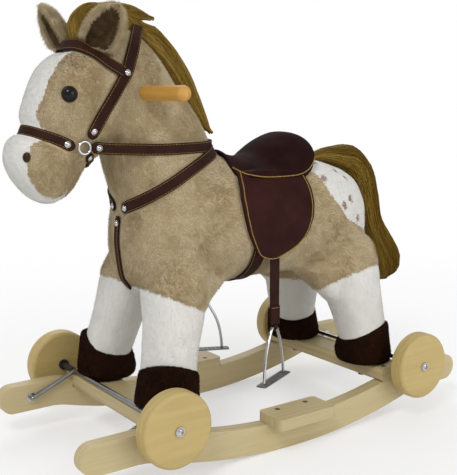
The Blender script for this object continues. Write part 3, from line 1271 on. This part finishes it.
tail_keys = [(TAIL_ROOT[0] + TAIL_SCALE * x, 0, TAIL_ROOT[1] + TAIL_SCALE * z,
              TAIL_SCALE * r, TAIL_SCALE * r, tilt) for x, z, r, tilt in TAIL]
mane_keys = keys_on(on_neck, [(s, forward, r, r, tilt) for s, forward, r, tilt in MANE], MANE_SIZE)
locks("tail", tail_keys, 3600, 0.34, 0.62, 1.0, 0.0, (-0.02, 0.84), 0.15, 8, 0.94, "tail")
locks("mane", mane_keys, 3000, 0.27, 0.55, 0.66, 0.08, (0.0, 0.90), 0.4, 8, 0.94, "mane", 0.66)
locks("poll", POLL_TUFT, 420, 0.7, 0.55, 0.6, 0.25, (0.0, 0.4), 0.8, tone=0.66)
locks("forelock", FORELOCK, 1200, 0.55, 0.55, 0.8, 0.05, (0.0, 0.62), 0.2, 8, 0.94, "forelock", 0.60)


# Pile: short fibres over the skin, each a thin closed spike

CLEAR_MIDDLE, CLEAR_TIP = 2.6, 1.4
WHITE_SHARE, DARK_SHARE = 0.36, 0.5
BRUSHED = np.array([-0.5, 0, -1.0])  # the way the pile lies
ROOT_IN, RIDGE_UP = 0.5, 0.2


def clear_of_tack(p, reach):
    free = np.ones(len(p), bool)
    for t in strap_trees:
        for i in np.nonzero(free)[0]:
            if t.find_nearest(Vector(p[i]), reach)[0] is not None:
                free[i] = False
    return free


def pelt(name, verts, faces, count, length, width, zone, lean=0.75, slot="tan_plush", keep=None):
    """Fibres over a form; zone names the pile at each point, keep the faces it grows on."""
    quads = as_quads(faces)
    normals = vertex_normals(verts, faces)
    p = verts[quads]
    area = np.linalg.norm(np.cross(p[:, 2] - p[:, 0], p[:, 3] - p[:, 1]), axis=1)
    if keep is not None:
        area = area * keep(p.mean(axis=1))
    chosen = np.sort(rng.choice(len(quads), count, p=area / area.sum()))
    a, b = rng.random((count, 1)), rng.random((count, 1))
    w = [(1 - a) * (1 - b), a * (1 - b), a * b, (1 - a) * b]
    root = sum(w[c] * verts[quads[chosen, c]] for c in range(4))
    n = unit(sum(w[c] * normals[quads[chosen, c]] for c in range(4)))
    flow = BRUSHED + 0.5 * np.stack([noise(root, 36, 20 + c) for c in range(3)], axis=1)
    flow = flow + rng.normal(0, 0.35, (count, 3))
    flow = unit(flow - n * (flow * n).sum(1, keepdims=True))
    which = zone(root)
    lay = np.where(which == "tan", lean, max(lean, 0.85))[:, None] * (0.85 + 0.3 * rng.random((count, 1)))
    way = unit(n * np.sqrt(np.maximum(0.05, 1 - np.minimum(lay, 0.97) ** 2)) + flow * lay)
    share = np.select([which == "tan", which == "white"], [1.0, WHITE_SHARE], DARK_SHARE)[:, None]
    reach = length * (0.7 + 0.6 * rng.random((count, 1))) * share
    tip = root + way * reach
    free = clear_of_tack((root + tip) / 2, CLEAR_MIDDLE) & clear_of_tack(tip, CLEAR_TIP)
    root, n, way, tip, which = root[free], n[free], way[free], tip[free], which[free]
    count = len(root)
    across = unit(np.cross(way, n)) * width * (0.7 + 0.6 * rng.random((count, 1)))
    low = root - n * ROOT_IN
    ridge = low + n * RIDGE_UP + unit(np.cross(across, way)) * width * 0.6
    v = np.stack([low - across, low + across, ridge, tip], axis=1)
    tri = np.array([[0, 3, 1], [1, 3, 2], [2, 3, 0], [0, 1, 2]])
    f = (np.arange(count)[:, None, None] * 4 + tri).reshape(-1, 3)
    shade = 0.75 * noise(root * [1, 1, 0.6], 26, 31) + 0.45 * noise(root, 9, 32) + rng.normal(0, 0.17, count)
    rank = np.clip(shade * 0.8 + 0.5, 0, 0.999)
    index = np.zeros(count, int)
    for label, first in first_tint.items():
        mine = which == label
        index[mine] = first + (rank[mine] * len(TINTS[label])).astype(int)
    ob = piece(name, v.reshape(-1, 3), f, fibres, slot, slots=np.repeat(index, 4), turn=False)
    soft = unit(np.repeat(n, 4, 0) + 0.25 * np.repeat(way, 4, 0))
    ob.data.normals_split_custom_set_from_vertices(soft.tolist())


def under_saddle(p):
    """Where the saddle and its flaps lie, and nothing grows."""
    x, y, z = p.T
    seat = (np.hypot((x + 30) / 66, y / 62) < 1) & (z > 330)
    flap = (np.hypot(x + 6, (z - 300) / 1.05) < 46) | ((np.abs(x - 4) < 22) & (z > 250) & (z < 330))
    return (seat | flap) & (z > 200)


def part_of(p):
    """Which pelt grows at each point of the skin."""
    x, _, z = p.T
    high = z >= np.interp(x, [40, 200], [420, 300])
    face = high & (TURN_COS * (z - 430) - 0.6 * (x - 200) < 0)
    trunk = ~high & (z > 170) & ~under_saddle(p)
    return np.select([face, high & (x > 40), trunk & (x > 20), trunk, (z <= 170) & (z > 98)],
                     ["head", "neck", "fore", "rear", "legs"], "none")


def all_one(pile):
    return lambda p: np.full(len(p), pile, dtype=object)


# Fibres in each pelt, their length and half width, and its slot
PELTS = [
    ("fore", 49000, 3.4, 0.46, "tan_plush"), ("rear", 49000, 3.4, 0.46, "tan_plush"),
    ("head", 49000, 3.0, 0.42, "tan_plush"), ("neck", 40000, 3.2, 0.42, "tan_plush"),
    ("legs", 36000, 4.0, 0.45, "white_plush"),
]
for part, *fibre_size, slot in PELTS:
    pelt("pile_" + part, skin_v, skin_f, *fibre_size, zones, slot=slot,
         keep=lambda p: part_of(p) == part)
pelt("pile_ears", *joined(ear_shells), 9000, 4.2, 0.5, all_one("tan"), lean=0.6)
pelt("pile_hooves", *joined(hoof_parts), 22000, 4.2, 0.6, all_one("brown"), slot="brown_plush",
     keep=lambda p: p[:, 2] > 74)
